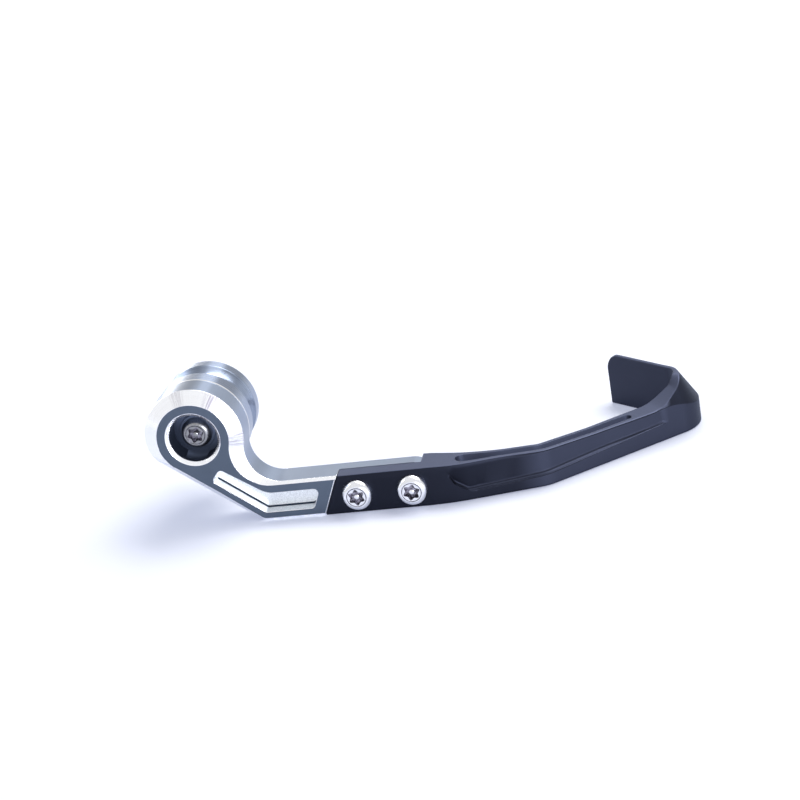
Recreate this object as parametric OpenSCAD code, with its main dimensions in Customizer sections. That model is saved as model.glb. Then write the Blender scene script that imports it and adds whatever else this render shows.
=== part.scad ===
// Brake lever guard for a 22 mm handlebar.
// X runs along the straight part of the arm, Y along the bar towards the rider's hand, Z up.
// The origin is on the bar's axis, in the plane where the collar meets the end of the bar.

/* [Eye] */
// Outer radius of the eye, at the foot of its chamfer
eye_r = 17.4; // [15:0.1:20]
// Radius of the flat face inside the eye's chamfer
eye_face_r = 12.8; // [11.5:0.1:14]
// Depth of the eye's chamfer
eye_chamfer_d = 2.5; // [1.5:0.1:4]
// Radius of the recess for the bolt's head
recess_r = 8.5; // [7:0.1:9.5]
// Depth of the recess
recess_d = 8.5; // [6:0.1:9.5]
// Chamfer at the mouth of the recess
recess_chamfer = 1.1; // [0.4:0.1:1.6]

/* [Arm] */
// Thickness of the arm, along the bar
arm_t = 11.4; // [10.5:0.1:14]
// Height of the arm's straight part
arm_h = 14; // [12:0.1:16]
// Distance from the bar's axis down to the arm's lower side
arm_drop = 32.7; // [30:0.1:38]
// Place along X of the corner in the arm's lower side
corner_x = 19; // [17:0.1:23]
// Radius of that corner
corner_r = 3; // [1:0.1:5]
// Radius of the neck between the eye and the straight part
neck_r = 11.5; // [9:0.1:13]
// Chamfer along the arm's front edges
arm_chamfer = 0.8; // [0.4:0.1:1.2]
// Width of the chamfer where the eye runs into the arm's lower side
low_chamfer = 1.3; // [0.8:0.1:2.5]
// Rounding radius of the eye's outline on that side
low_blend_r = 10; // [6:0.1:12]

/* [Pocket in the arm] */
// Depth of the milled pocket
pocket_d = 4.5; // [2:0.1:5.5]
// Land above the pocket
pocket_top_land = 3.8; // [2.5:0.1:4.5]
// Land below the pocket
pocket_low_land = 3.2; // [2.5:0.1:4]
// Land between the pocket and the arm's sloping lower side
pocket_slope_land = 2.9; // [2:0.1:3.5]
// Distance from the pocket to the joint with the blade
pocket_end_gap = 4.9; // [4:0.1:8]
// Distance along the sloping side from the bar's axis to the pocket
pocket_start = 13; // [12.5:0.1:16]
// Radius of the pocket's corners
pocket_r = 1.5; // [0.8:0.1:2]
// Radius of the bend in the pocket's upper side
pocket_bend_r = 8; // [2:0.5:12]

/* [Lap joint] */
// Place along X of the joint's lower end
joint_x = 41; // [38:0.1:44]
// Slant of the joint from upright
joint_slant = 23.5; // [0:0.5:28]
// Thickness of the tongue behind the blade's cheek
tongue_t = 5; // [4:0.1:6]
// Clearance between the tongue and the blade
lap_gap = 0.1; // [0.05:0.01:0.2]
// Distance from the joint's lower end to the first screw
screw_start = 12.5; // [11.5:0.1:14]
// Distance between the two screws
screw_pitch = 19.1; // [16:0.1:20]

/* [Blade] */
// Distance along X from the bar's axis to the outside of the hook
reach = 169.3; // [165:0.1:185]
// Thickness of the blade's heel, where it grips the end of the arm's tongue
heel_t = 13.6; // [12:0.1:14.5]
// Thickness of the blade beyond the heel
blade_t = 9; // [8.5:0.1:10]
// Height of the blade at its waist, before the hook
waist_h = 11.5; // [10.5:0.1:13]
// Straight length from the joint to the first bend
run_1 = 35; // [34:0.5:40]
// Angle of the first, gentle bend
bend_1 = 12.5; // [6:0.5:15]
// Radius of the first bend
bend_1_r = 75; // [60:1:90]
// Straight length between the bends
run_2 = 23.3; // [20:0.1:30]
// Angle of the second bend
bend_2 = 24.5; // [15:0.5:30]
// Radius of the second bend
bend_2_r = 15; // [14:0.5:25]
// Angle that the hook turns back through
hook_turn = 109.5; // [98:0.5:112]
// Outer radius of the hook
hook_r = 13.5; // [12:0.1:14.5]
// Thickness of the wall in the hook
hook_t = 8.1; // [6.5:0.1:8.4]

/* [Tab at the end of the blade] */
// Length of the tab behind the hook
tab_len = 29; // [26:0.5:34]
// Height of the tab at the hook
tab_h = 19.3; // [17:0.1:24]
// How much higher the tab is at its tip
tab_rise = 0.3; // [0:0.1:2]
// Thickness of the tab's foot at its tip
tab_t = 4.5; // [3.5:0.1:5.5]
// Thickness of the tab's top edge
tab_edge_t = 1.6; // [1.2:0.1:2.5]
// Height of the upright band round the outside of the hook
band_h = 8.7; // [7:0.1:9.5]
// Radius of the tab's upper corner
tab_corner_r = 5.5; // [3:0.1:7]

/* [Flute and slot in the blade] */
// Depth of the flute in the front face
flute_d = 1.6; // [0.6:0.1:1.9]
// Distance along the blade from the joint to the flute
flute_start = 44.5; // [42:0.1:47]
// Distance along the blade from the flute's end to the hook
flute_gap = 7.4; // [6.5:0.1:11]
// Height of the lower band at the start of the flute
flute_low_1 = 3.3; // [2.5:0.1:4]
// Height of the lower band at the end of the flute
flute_low_2 = 6.3; // [5:0.1:7]
// Depth of the slot in the top face
slot_d = 3.5; // [2:0.1:5]
// Distance along the blade from the joint to the slot
slot_start = 47.6; // [45:0.1:50]
// Distance along the blade from the slot's end to the hook
slot_gap = 18.6; // [17:0.1:28]
// Width of the slot at its wide end
slot_w_1 = 5.6; // [4:0.1:6]
// Width of the slot along the blade
slot_w_2 = 3.6; // [2:0.1:4]
// Length over which the slot narrows
slot_taper = 16; // [12:0.5:20]

/* [Collar and plug] */
// Length of the collar
collar_len = 21; // [19:0.1:26]
// Radius of the collar's front band
collar_r = 17.2; // [16:0.1:17.4]
// Length of the collar's front band
collar_band = 7.4; // [5:0.1:8.5]
// Width of the groove round the collar
groove_w = 8; // [6:0.1:9]
// Depth of the groove
groove_d = 2; // [1:0.1:3]
// Radius of the collar's rear rim
rim_r = 16.6; // [15:0.1:17]
// Outer radius of the split sleeve that expands in the bar
sleeve_r = 8; // [7.4:0.1:9]
// Length of the sleeve
sleeve_len = 14; // [12:0.1:16]
// Width of the saw cuts in the sleeve
saw_w = 1.2; // [0.8:0.1:1.6]

/* [Screws] */
// Radius of the screws' and the bolt's shanks
thread_r = 3; // [2.5:0.1:3.2]
// Radius of the screws' heads
head_r = 5.2; // [4.9:0.1:5.6]
// Height of the screws' heads
head_h = 3.2; // [2.6:0.1:3.6]
// Radius of the socket in a head
socket_r = 3; // [2.4:0.1:3.1]
// Depth of the socket
socket_d = 1.9; // [1.4:0.1:2.1]
// Radius of the bolt's washer
washer_r = 6.2; // [5.8:0.1:6.8]
// Thickness of the washer
washer_t = 1.2; // [0.8:0.1:1.6]

/* [Hidden] */
$fn = 72;
over = 1;                 // how far a cut runs past the face it opens
edge = 0.4;               // broken edges of the blade and the collar
thread_gap = 0.05;        // between a screw and its tapped hole
clear_gap = 0.3;          // between a screw and a plain hole
front_y = -(collar_len + arm_t);
arm_back_y = -collar_len;
low_z = -arm_drop;
arm_top_z = low_z + arm_h;
arm_mid_z = low_z + arm_h / 2;
tongue_y = arm_back_y - tongue_t;
cheek_back_y = tongue_y - lap_gap;
heel_y = front_y + heel_t;
screw_x = [joint_x + screw_start, joint_x + screw_start + screw_pitch];
tongue_end_r = arm_h / 2;

// Points on an arc in the plane, from angle a0 to angle a1, both ends included
function arc(c, r, a0, a1, n) =
    [for (i = [0:n]) c + r * [cos(a0 + (a1 - a0) * i / n), sin(a0 + (a1 - a0) * i / n)]];
function unit(v) = v / norm(v);
function ease(s, a, b) = let (u = min(1, max(0, (s - a) / (b - a)))) u * u * (3 - 2 * u);
function mix(a, b, u) = a + (b - a) * u;

// One corner of a polygon, rounded to radius r between its neighbours p and q
function rounded_corner(p, c, q, r, n = 6) =
    let (u = unit(p - c), v = unit(q - c),
         half = acos(u * v) / 2,
         m = c + unit(u + v) * r / sin(half),
         a = c + u * r / tan(half) - m,
         b = c + v * r / tan(half) - m,
         a0 = atan2(a[1], a[0]), sweep = (atan2(b[1], b[0]) - a0 + 540) % 360 - 180)
    arc(m, r, a0, a0 + sweep, n);
function rounded(points, radii) =
    let (n = len(points))
    [for (i = [0:n - 1])
        each rounded_corner(points[(i + n - 1) % n], points[i], points[(i + 1) % n], radii[i])];

// Extrudes a shape drawn in X and Z along Y
module along_y(y0, y1) {
    translate([0, y1, 0]) rotate([90, 0, 0]) linear_extrude(y1 - y0) children();
}
// Turns a profile of [radius, distance along Y] about the bar's axis
module turned(profile) {
    rotate([-90, 0, 0]) rotate_extrude() polygon(profile);
}
module hole_along_y(r, x, z, y0, y1) {
    translate([x, y0, z]) rotate([-90, 0, 0]) cylinder(h = y1 - y0, r = r);
}

// The arm's outline: a round eye, a neck, a straight part that ends in the tongue, and a
// lower side that slopes down from the eye. Both outlines have the same number of points:
// the face outline lies in the front face, the edge outline at the foot of the chamfer.
function corner_point(inset) = [corner_x + inset / 2, low_z + inset];
// Direction of the normal of the tangent from point c to a circle of radius r
function slope_normal(c, r) = 360 + atan2(c[1], c[0]) - acos(r / norm(c));
function neck_centre(r, neck, top) = [sqrt(pow(r + neck, 2) - pow(top + neck, 2)), top + neck];
slope_n = eye_face_r + low_chamfer;
edge_normal = slope_normal(corner_point(0), slope_n);
face_normal = slope_normal(corner_point(arm_chamfer), eye_face_r);
blend_turn = acos((slope_n - low_blend_r) / (eye_r - low_blend_r));
blend_from = edge_normal - blend_turn;
blend_centre = (eye_r - low_blend_r) * [cos(blend_from), sin(blend_from)];
function outline(r, neck, inset, low_c, low_r, low_normal) =
    let (nc = neck_centre(r, neck, arm_top_z - inset),
         na = atan2(nc[1], nc[0]),
         slope_end = low_c + low_r * [cos(low_normal), sin(low_normal)],
         end_c = [screw_x[1], arm_mid_z],
         end_r = tongue_end_r - inset)
    concat(arc(nc, neck, 270, 180 + na, neck_steps),
           arc([0, 0], r, na, blend_from - blend_skip, eye_steps),
           arc(low_c, low_r, blend_from, low_normal, blend_steps),
           rounded_corner(slope_end, corner_point(inset), end_c - [0, end_r], corner_r),
           arc(end_c, end_r, -90, 90, end_steps));
neck_steps = 14;
eye_steps = 44;
blend_steps = 12;
blend_skip = 1;           // degrees between the eye's arc and the blend, to keep points apart
end_steps = 18;
neck_spread = 1.3;        // how much wider the face outline turns in the neck
face_outline = outline(eye_face_r, neck_r + neck_spread, arm_chamfer,
                       [0, 0], eye_face_r, face_normal);
edge_outline = outline(eye_r, neck_r, 0, blend_centre, low_blend_r, edge_normal);
// Depth of the chamfer at each point: deep round the eye, shallow along the arm
blend_i = neck_steps + eye_steps + 2;
function chamfer_depth(i) =
    mix(arm_chamfer, eye_chamfer_d,
        ease(i, 0, neck_steps) * (1 - ease(i, blend_i, blend_i + blend_steps)));

// A solid through a stack of closed rings that have the same number of points. Each of the
// two ends is closed by the convex pieces that caps lists, as places in the ring
module skin(rings, caps) {
    n = len(rings[0]);
    last = (len(rings) - 1) * n;
    sides = [for (k = [0:len(rings) - 2]) for (i = [0:n - 1])
        let (j = (i + 1) % n, a = k * n)
        each [[a + i, a + n + j, a + n + i], [a + i, a + j, a + n + j]]];
    near = [for (cap = caps) [for (i = [len(cap) - 1:-1:0]) cap[i]]];
    far = [for (cap = caps) [for (i = cap) last + i]];
    polyhedron([for (ring = rings) each ring], concat(sides, near, far), convexity = 8);
}
// The convex pieces of the arm's outline: the eye, the neck and the straight part
eye_last = neck_steps + eye_steps + blend_steps + 2;
corner_i = eye_last + 4;
arm_caps = concat([[for (i = [neck_steps:eye_last]) i],
                   concat([neck_steps], [for (i = [eye_last:corner_i]) i]),
                   concat([0], [for (i = [corner_i:len(edge_outline) - 1]) i])],
                  [for (i = [0:neck_steps - 1]) [i, i + 1, corner_i]]);

function joint_line(z, gap) = joint_x + gap + (z - low_z) * tan(joint_slant);
// What lies between the slanted joint and an upright line at far_x, as a shape in X and Z
module beside_joint(gap, far_x) {
    polygon([[joint_line(low_z - over, gap), low_z - over], [far_x, low_z - over],
             [far_x, arm_top_z + over], [joint_line(arm_top_z + over, gap), arm_top_z + over]]);
}

// The pocket follows the arm: parallel to the sloping lower side, then to the straight part
slope_dir = [-sin(face_normal), cos(face_normal)];
slope_out = [cos(face_normal), sin(face_normal)];
pocket_top = arm_top_z - pocket_top_land;
pocket_low = low_z + pocket_low_land;
pocket_depth_n = eye_face_r - pocket_slope_land + edge;
end_w = 5.3;              // width of the pocket's end at the eye
end_taper = 0.6;          // how much the pocket narrows towards the straight part
function on_slope(n, z) = let (d = (z - n * slope_out[1]) / slope_dir[1])
    n * slope_out + d * slope_dir;
pocket_w = pocket_top - pocket_low;
pocket_start_low = pocket_start * slope_dir + pocket_depth_n * slope_out;
pocket_outline = [
    pocket_start_low - end_w * slope_out,
    on_slope(pocket_depth_n - pocket_w + end_taper, pocket_top),
    [joint_line(pocket_top, -pocket_end_gap), pocket_top],
    [joint_line(pocket_low, -pocket_end_gap), pocket_low],
    on_slope(pocket_depth_n, pocket_low),
    pocket_start_low];
pocket_radii = [for (i = [0:len(pocket_outline) - 1]) i == 1 ? pocket_bend_r : pocket_r];

// The arm's chamfered sides run past its flat front and back, which are then cut to length
proud = 0.6;              // how far they run past
points = [0:len(edge_outline) - 1];
function upright(p, y) = [p[0], y, p[1]];
module beyond(y0, y1) {
    translate([-2 * eye_r, y0, low_z - over])
        cube([screw_x[1] + 4 * eye_r, y1 - y0, eye_r - low_z + 2 * over]);
}
module arm() color("#8d97a8") difference() {
    skin([[for (i = points) let (p = face_outline[i], e = edge_outline[i])
              upright(p + (p - e) * proud / chamfer_depth(i), front_y - proud)],
          [for (i = points) upright(edge_outline[i], front_y + chamfer_depth(i))],
          [for (i = points) upright(edge_outline[i], arm_back_y + proud)]], arm_caps);
    beyond(front_y - 2 * over, front_y);
    beyond(arm_back_y, arm_back_y + 2 * over);
    along_y(front_y - over, tongue_y) beside_joint(0, screw_x[1] + 2 * tongue_end_r);
    along_y(front_y - over, front_y + pocket_d) polygon(rounded(pocket_outline, pocket_radii));
    hole_along_y(recess_r, 0, 0, front_y - over, front_y + recess_d);
    translate([0, front_y - 0.01, 0]) rotate([-90, 0, 0])
        cylinder(h = recess_chamfer, r1 = recess_r + recess_chamfer, r2 = recess_r);
    hole_along_y(thread_r + clear_gap, 0, 0, front_y, arm_back_y + over);
    for (x = screw_x)
        hole_along_y(thread_r + thread_gap, x, arm_mid_z, tongue_y - over, arm_back_y + over);
}

// The blade's outer line in plan: straight runs, each followed by a bend to the left. The last
// run before the hook is as long as the reach asks
hook_heading = bend_1 + bend_2;
run_3 = (reach - joint_x - run_1 - bend_1_r * sin(bend_1) - run_2 * cos(bend_1)
         - bend_2_r * (sin(hook_heading) - sin(bend_1)) - hook_r * (1 - sin(hook_heading)))
        / cos(hook_heading);
legs = [[run_1 + over, bend_1, bend_1_r], [run_2, bend_2, bend_2_r],
        [run_3, hook_turn, hook_r], [tab_len, 0, 1]];
function go(q, d) = [q[0] + d * cos(q[2]), q[1] + d * sin(q[2]), q[2], q[3] + d];
function turn(q, r, a) = [q[0] + r * (sin(q[2] + a) - sin(q[2])),
                          q[1] + r * (cos(q[2]) - cos(q[2] + a)), q[2] + a, q[3] + r * a * PI / 180];
function leg_start(i) = i == 0 ? [joint_x - over, front_y, 0, -over]
    : let (leg = legs[i - 1]) turn(go(leg_start(i - 1), leg[0]), leg[2], leg[1]);
starts = [for (i = [0:len(legs) - 1]) leg_start(i)];
// Place on the line: [x, y, heading, distance from the joint]
function place(s) =
    let (i = max([for (k = [0:len(legs) - 1]) if (k == 0 || starts[k][3] <= s) k]),
         d = s - starts[i][3], leg = legs[i])
    d <= leg[0] ? go(starts[i], d)
                : turn(go(starts[i], leg[0]), leg[2], (d - leg[0]) / leg[2] * 180 / PI);
bend_s = starts[2][3] - bend_2_r * bend_2 * PI / 180;
hook_s = starts[2][3] + run_3;
tab_s = starts[3][3];
end_s = tab_s + tab_len;
flute_end = hook_s - flute_gap;

// Sizes of the blade's section at distance s from the joint
taper_from = run_1 + 3;
waist_s = starts[2][3] + 19;
rise = [hook_s - 11.3, hook_s + 9.1];      // where the top edge rises into the tab
thinning = [run_1 - 2, run_1 + 31];        // where the blade thins behind its heel
hook_thinning = [hook_s - 8, hook_s + 2];
crease_drop = [hook_s - 6.5, hook_s + 11.5];
lean = [hook_s - 11.7, hook_s + 15.6];     // where the top face turns into the leaning face
flute_in = 0.9;           // length over which the flute sinks in
flute_out = [1.2, 2, 30]; // lengths before the flute's end where it closes and grows shallow
flute_fade = 0.6;         // share of the flute's depth that is lost towards the hook
// How much higher the flute's foot lies at its start and at its knee, and the distances from
// the start to the knee, to the low corner and to where the foot climbs again
ledge_rise = [6.8, 3.6];
ledge_run = [1.3, 6.1, 8.6];
crest_run = 22;           // length over which the flute reaches the crease
function ramp(s, ends) = ease(s, ends[0], ends[1]);
function share(s, a, b) = min(1, max(0, (s - a) / (b - a)));
function tip_drop(s) = let (e = max(0, tab_corner_r - (end_s - s)))
    tab_corner_r - sqrt(pow(tab_corner_r, 2) - pow(e, 2));
function top_z(s) = mix(arm_top_z, low_z + waist_h, share(s, taper_from, waist_s))
    + (tab_h - waist_h) * ramp(s, rise) + tab_rise * share(s, tab_s, end_s) - tip_drop(s);
function thickness(s) =
    let (bar = mix(heel_t, blade_t, ramp(s, thinning)), hook = mix(bar, hook_t, ramp(s, hook_thinning)))
    mix(hook, tab_t, share(s, tab_s, end_s));
function flute_depth(s) = flute_d * ease(s, flute_start, flute_start + flute_in)
    * (1 - flute_fade * ease(s, flute_end - flute_out[2], flute_end - flute_out[1]))
    * (1 - ease(s, flute_end - flute_out[0], flute_end));
// Depth of the flute at the crease above it
function crest_depth(s) = flute_depth(s) * ease(s, flute_start, flute_start + crest_run);
function ledge_z(s) = low_z + lookup(s, [
    [flute_start, flute_low_1 + ledge_rise[0]],
    [flute_start + ledge_run[0], flute_low_1 + ledge_rise[1]],
    [flute_start + ledge_run[1], flute_low_1],
    [flute_start + ledge_run[2], flute_low_1], [flute_end, flute_low_2]]);
function crease_z(s) = min(top_z(s) - edge,
    mix(low_z + waist_h + edge, low_z + band_h, ramp(s, crease_drop)));
function top_t(s) = mix(thickness(s) - crest_depth(s) - edge, tab_edge_t, ramp(s, lean));
// The section as [distance in from the outer line, height]
cove_h = 1.3;             // height of the cove at the foot of the flute
function section(s) =
    let (w = thickness(s), f = flute_depth(s), top = top_z(s))
    concat([[edge, low_z], [0, low_z + edge]],
           [for (a = [0:30:90]) [f * sin(a), ledge_z(s) + cove_h * (1 - cos(a))]],
           [[crest_depth(s), crease_z(s)], [w - top_t(s), top], [w - edge, top], [w, top - edge],
            [w, low_z + edge], [w - edge, low_z]]);
function at(q, n, z) = [q[0] - n * sin(q[2]), q[1] + n * cos(q[2]), z];
function ring_at(s) = let (q = place(s)) [for (p = section(s)) at(q, p[0], p[1])];
function span(a, b, step) = let (n = ceil((b - a) / step)) [for (i = [0:n - 1]) a + (b - a) * i / n];
stations = concat(span(-over, flute_start - 0.5, 3), span(flute_start - 0.5, flute_start + 11, 0.9),
                  span(flute_start + 11, bend_s, 2.4), span(bend_s, starts[2][3], 0.8),
                  span(starts[2][3], flute_end - 1.5, 2.4), span(flute_end - 1.5, hook_s, 1.3),
                  span(hook_s, tab_s, 1), span(tab_s, end_s - tab_corner_r, 5),
                  [for (a = [0:10:80]) end_s - tab_corner_r * (1 - sin(a))], [end_s]);

// The slot in the top face, in plan: round ends, wide near the joint and narrow beyond
slot_end = hook_s - slot_gap;
slot_wide = 3;            // length of the slot's wide end
function slot_half(s) =
    mix(slot_w_1, slot_w_2, ease(s, slot_start + slot_wide, slot_start + slot_taper)) / 2;
function slot_point(s, side) =
    let (p = at(place(s), (thickness(s) + crest_depth(s)) / 2 + side * slot_half(s), 0)) [p[0], p[1]];
slot_stations = concat(span(slot_start + slot_w_1 / 2, slot_end - slot_w_2 / 2, 1.6),
                       [slot_end - slot_w_2 / 2]);
function slot_cap(s, a0) =
    let (h = place(s)[2]) arc(slot_point(s, 0), slot_half(s), h + a0, h + a0 + 180, 8);
slot_outline = let (n = len(slot_stations) - 1) concat(
    [for (s = slot_stations) slot_point(s, -1)], slot_cap(slot_stations[n], -90),
    [for (i = [n:-1:0]) slot_point(slot_stations[i], 1)], slot_cap(slot_stations[0], 90));

// The convex pieces of the blade's section: below, beside and above the flute's foot
blade_caps = [[0, 1, 2, 10, 11], [2, 3, 10], [3, 4, 10], [4, 5, 10], [5, 6, 7, 8, 9, 10]];
lap_shoulder = 3;         // the tongue's recess runs this far past the outer screw
module blade() color("#23252e") difference() {
    skin([for (s = stations) ring_at(s)], blade_caps);
    along_y(front_y - over, heel_y + over) beside_joint(lap_gap, joint_x - 3 * over);
    translate([joint_x - 3 * over, cheek_back_y, low_z - over])
        cube([screw_x[1] + lap_shoulder - joint_x + 3 * over, heel_y + over - cheek_back_y,
              arm_h + 2 * over]);
    hole_along_y(tongue_end_r + lap_gap, screw_x[1], arm_mid_z, cheek_back_y, heel_y + over);
    for (x = screw_x)
        hole_along_y(thread_r + clear_gap, x, arm_mid_z, front_y - over, cheek_back_y + over);
    translate([0, 0, low_z + waist_h - slot_d]) linear_extrude(arm_h) polygon(slot_outline);
}

// A button-head screw along Y with its head's seat at the origin, a six-lobed socket and a pin
head_flat = 0.67;         // share of the head's radius that is flat on top
pin_r = 0.9;              // radius of the pin in the socket
lobe_depth = 0.32;        // share of the socket's radius between its lobes' tips and valleys
function lobes(r) = [for (a = [0:7.5:352.5])
    r * (1 - lobe_depth / 2 * (1 - cos(6 * a))) * [cos(a), sin(a)]];
module button_screw(length) {
    difference() {
        turned(concat([[0, -head_h]],
                      [for (a = [0:10:90]) [head_r * mix(head_flat, 1, sin(a)),
                                            -edge - (head_h - edge) * cos(a)]],
                      [[head_r, 0], [thread_r, 0], [thread_r, length - edge],
                       [thread_r - edge, length], [0, length]]));
        along_y(-head_h - over, socket_d - head_h) difference() {
            polygon(lobes(socket_r));
            circle(pin_r);
        }
    }
}
module blade_screw(x) {
    translate([x, front_y, arm_mid_z]) button_screw(arm_t - edge);
}
module inner_blade_screw() color("#c9ccd2") blade_screw(screw_x[0]);
module outer_blade_screw() color("#c9ccd2") blade_screw(screw_x[1]);

groove_y = arm_back_y + collar_band;
rim_y = groove_y + groove_w;
module bar_end_collar() color("#98a2b3") {
    bore = thread_r + clear_gap;
    turned(concat([[bore, arm_back_y], [collar_r - edge, arm_back_y], [collar_r, arm_back_y + edge],
                   [collar_r, groove_y - edge]],
                  [for (u = [0:0.1:1]) [mix(collar_r, rim_r, u) - edge - groove_d * sin(180 * u),
                                        mix(groove_y, rim_y, u)]],
                  [[rim_r, rim_y + edge], [rim_r, -2 * edge], [rim_r - 2 * edge, 0], [bore, 0]]));
}

seat_y = front_y + recess_d - washer_t;
nut_gap = 2.5;            // from the cone's start to the nut, and from the sleeve to the nut's end
nut_end_y = sleeve_len + nut_gap;
module clamp_bolt() color("#b9bdc6") translate([0, seat_y, 0]) button_screw(nut_end_y + edge - seat_y);
module bolt_washer() color("#9aa1ae")
    turned([[thread_r + clear_gap, seat_y], [washer_r, seat_y],
            [washer_r, seat_y + washer_t], [thread_r + clear_gap, seat_y + washer_t]]);

// The sleeve's far end is a cone cut into four leaves, and the nut is drawn into it
cone_len = 8;             // length of the cone inside the sleeve
cone_start = sleeve_len - cone_len;
cone_wall = 1.4;          // thickness of the sleeve at the mouth of the cone
uncut = 0.55;             // share of the sleeve's length that isn't sawn
function cone_r(y) = mix(thread_r + clear_gap, sleeve_r - cone_wall,
                         (y - cone_start) / (sleeve_len - cone_start));
module expander_sleeve() color("#7f858f") difference() {
    turned([[thread_r + clear_gap, 0], [sleeve_r, 0], [sleeve_r, sleeve_len - edge],
            [sleeve_r - edge, sleeve_len], [cone_r(sleeve_len), sleeve_len],
            [thread_r + clear_gap, cone_start]]);
    for (a = [0, 90]) rotate([0, a, 0])
        translate([-2 * sleeve_r, uncut * sleeve_len, -saw_w / 2])
            cube([4 * sleeve_r, sleeve_len, saw_w]);
}
nut_start = cone_start + nut_gap;
module cone_nut() color("#a5a9b1")
    turned([[thread_r + thread_gap, nut_start], [cone_r(nut_start) - thread_gap, nut_start],
            [cone_r(sleeve_len) - thread_gap, sleeve_len],
            [cone_r(sleeve_len) - thread_gap, nut_end_y], [thread_r + thread_gap, nut_end_y]]);

arm();
blade();
inner_blade_screw();
outer_blade_screw();
bar_end_collar();
clamp_bolt();
bolt_washer();
expander_sleeve();
cone_nut();
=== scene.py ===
"""Finishes a brake lever guard: rounded edges, metal finishes, threaded screws and a studio."""

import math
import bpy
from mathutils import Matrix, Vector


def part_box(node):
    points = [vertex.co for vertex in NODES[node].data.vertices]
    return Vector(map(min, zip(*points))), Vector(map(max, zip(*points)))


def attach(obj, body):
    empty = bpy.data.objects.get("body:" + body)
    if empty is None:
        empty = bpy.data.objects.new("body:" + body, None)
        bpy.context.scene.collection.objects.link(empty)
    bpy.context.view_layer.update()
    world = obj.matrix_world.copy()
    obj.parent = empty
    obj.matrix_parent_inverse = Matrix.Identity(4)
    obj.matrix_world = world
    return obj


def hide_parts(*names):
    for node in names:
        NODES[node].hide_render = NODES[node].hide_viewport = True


bl_info = {
    "name": "Brake Lever Guard",
    "version": (1, 0, 0),
    "blender": (4, 5, 0),
    "location": "View3D > Sidebar > Lever Guard",
    "description": "Edges, metal finishes, screws and a studio for a brake lever guard",
    "category": "Object",
}

import bmesh
import bpy
from bpy.props import FloatProperty, FloatVectorProperty, PointerProperty
from mathutils import Matrix, Vector

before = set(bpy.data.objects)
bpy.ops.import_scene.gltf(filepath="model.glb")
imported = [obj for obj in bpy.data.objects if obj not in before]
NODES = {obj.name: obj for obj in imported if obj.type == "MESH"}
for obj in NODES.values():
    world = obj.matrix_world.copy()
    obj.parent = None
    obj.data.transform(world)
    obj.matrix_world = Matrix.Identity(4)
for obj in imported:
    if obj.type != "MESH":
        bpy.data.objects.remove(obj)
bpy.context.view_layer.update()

MM = 0.001
SLACK = 0.05 * MM

# Where the arm and the blade lie, and the sizes by which their faces and edges are told apart.
FRONT_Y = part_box("arm")[0][1]
BACK_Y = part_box("arm")[1][1]
LOW_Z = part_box("arm")[0][2]
RECESS_R = 9.8 * MM
RECESS_D = 8.5 * MM
RECESS_INSIDE_R = 9 * MM
RECESS_CHAMFER_D = 1.6 * MM
POCKET_D = 4.5 * MM
POCKET_END_X = 46 * MM
POCKET_FOOT = 0.5 * MM
JOINT_X = 40 * MM
JOINT_EDGE_H = 8 * MM
TONGUE_X = 43 * MM
TONGUE_D = 5 * MM
SLOT_START_X = 86 * MM
SLOT_FLOOR_Z = LOW_Z + 8 * MM
FLUTE_START_X = (83 * MM, 94 * MM)
FLUTE_START_Z = (LOW_Z + 2 * MM, LOW_Z + 12.2 * MM)
FLUTE_START_D = 5 * MM
STRIP_X = 140 * MM
STRIP_Z = (LOW_Z + 5.5 * MM, LOW_Z + 7 * MM)
TAB_TIP_Y = 42.5 * MM
COLLAR_INSIDE_R = 16.5 * MM
COLLAR_RING = (0.5 * MM, 0.8 * MM)

# What counts as a sharp, a broken or a short edge, and the shares of the full rounding.
SHARP_ANGLE = math.radians(24)
BROKEN_ANGLE = math.radians(60)
SHORT_EDGE = 0.25 * MM
SHORT_SLOT_EDGE = 0.1 * MM
ARM_SHARE = 0.4
SLOT_SHARE = 0.25
STRIP_SHARE = 0.35
BROKEN_SHARE = 0.7

# Material numbers of the arm, in the order of its materials.
FACE, SIDE, CUT, MILLED, RECESS = range(5)

# Soft bands of painted light and shade round the bar's axis; on the bright cut they are dark
# streaks
# of painted reflection: angle in radians, half width and share.
CUT_REFLECTION_STREAKS = ((0.94, 0.27, 1.0), (-0.1, 0.27, 1.0), (1.76, 0.2, 0.4))
EYE_GLINTS = ((1.64, 0.34, -0.3), (1.22, 0.16, 0.2))
COLLAR_GLINTS = ((1.25, 0.24, 0.45), (0.85, 0.36, -0.22), (1.75, 0.32, -0.22))

# Where a tone begins and ends, most of them tones of painted light and shade: millimetres on the
# object, or parts of a direction.
EYE_RIM = (17.8, 19.5)
EYE_CHAMFER_RIM = (19.0, 20.5)
BEND_X = (106.0, 117.0)
TAB_Y = (4.0, 32.0)
RECESS_RISE = (-5.0, 8.0)
FLOOR_FAR = (350.0, 1100.0)
FACES_LEFT = (0.4, 0.85)
FACES_UP = (0.62, 0.92)
FACES_SLANTED_UP = (0.1, 0.3)

# Depths of the bumps in metres.
FINE_BUMP = 0.006 * MM
LINES_BUMP = 0.008 * MM
RINGS_BUMP = 0.012 * MM
MARKS_BUMP = 0.014 * MM
MILLED_BUMP = 0.04 * MM

SCREW_TURNS = {"inner_blade_screw": 32.0, "outer_blade_screw": 17.0, "clamp_bolt": 10.0}
SCREW_SIDES = 72
LOBES = 6
HEAD_STEPS = 12
STEPS_PER_TURN = 8
THREAD_START = 0.4 * MM
THREAD_DEPTH = 0.5 * MM
GROOVE_OUT = 0.42 * MM
GROOVE_END = 0.58 * MM

LOOKS = ("Is Camera Ray", "Is Glossy Ray", "Is Transmission Ray")
FLOOR_GAP = 0.02 * MM
AIM = (0.08, 0.0, -0.01)

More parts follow.
